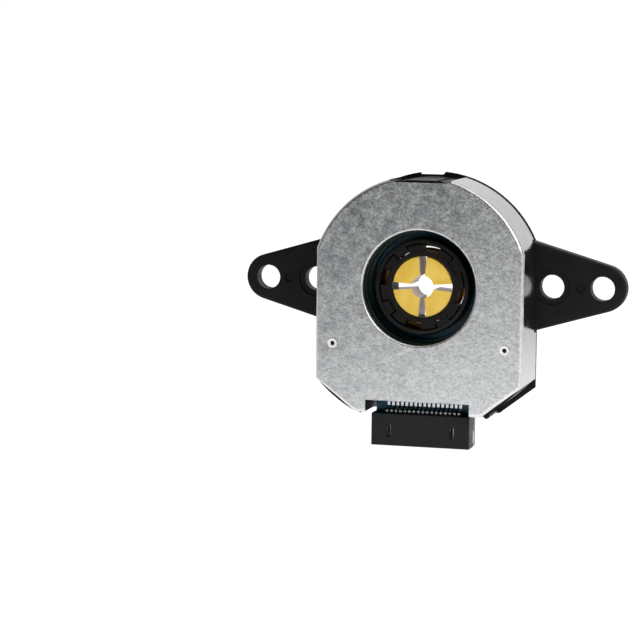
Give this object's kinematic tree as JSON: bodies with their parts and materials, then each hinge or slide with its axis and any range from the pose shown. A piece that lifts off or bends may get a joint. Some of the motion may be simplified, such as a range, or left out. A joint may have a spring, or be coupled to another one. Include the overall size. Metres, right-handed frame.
{
  "type": "rotary encoder",
  "caption": "Modular hollow-shaft rotary encoder: two-eared plastic base, stamped metal cover, slotted collet in a toothed adapter and a side connector.",
  "frame": {"origin": "on the shaft axis, in the plane of the rear mounting face, midway between the two ears", "axes": "+Y along the shaft towards the motor, out of the mounting face; +X along the ears; +Z away from the connector"},
  "size_m": [0.0524, 0.0104, 0.0363],
  "materials": {
    "base_plastic": "moulded glass-filled black plastic",
    "housing_plastic": "moulded black plastic",
    "cover_steel": "tin-coated sheet steel, mottled on the front and bright at the sides",
    "spacer_plastic": "moulded black plastic",
    "circuit_board": "navy solder mask on glass-epoxy board",
    "gold_plate": "gold-plated pins",
    "bushing_plastic": "plain plastic bush",
    "connector_plastic": "moulded black connector plastic",
    "contact_tin": "tin-plated copper alloy",
    "chip_epoxy": "moulded epoxy package",
    "crystal_can": "stamped crystal can",
    "capacitor_ceramic": "fired ceramic with tinned ends",
    "resistor_film": "film on ceramic with tinned ends",
    "hub_plastic": "moulded amber plastic",
    "rotor_plastic": "moulded black plastic",
    "adapter_plastic": "moulded black plastic",
    "collet_plastic": "moulded yellow plastic"
  },
  "bodies": {
    "housing": {"mounting_base": "base_plastic", "module_housing": "housing_plastic", "front_cover": "cover_steel", "cover_spacer": "spacer_plastic", "main_board": "circuit_board", "transmitter_board": "circuit_board", "gap_spacer": "spacer_plastic", "board_pins": "gold_plate", "rotor_bushing": "bushing_plastic", "connector_housing": "connector_plastic", "connector_contacts": "contact_tin", "connector_hold_downs": "contact_tin", "position_chip": "chip_epoxy", "line_driver": "chip_epoxy", "memory_chip": "chip_epoxy", "voltage_regulator": "chip_epoxy", "crystal": "crystal_can", "chip_leads": "contact_tin", "capacitors": "capacitor_ceramic", "resistors": "resistor_film"},
    "rotor": {"rotor_hub": "hub_plastic", "rotor_disc": "circuit_board", "drive_cup": "rotor_plastic"},
    "adapter": {"shaft_adapter": "adapter_plastic", "collet_sleeve": "collet_plastic"}
  },
  "joints": [
    {"name": "rotor_spin", "type": "hinge", "parent": "housing", "child": "rotor", "pos_m": [0, 0, 0], "axis": [0, 1, 0], "continuous": true},
    {"name": "adapter_float", "type": "slide", "parent": "rotor", "child": "adapter", "axis": [0, 1, 0], "range_m": [-0.0003, 0.0003]}
  ]
}
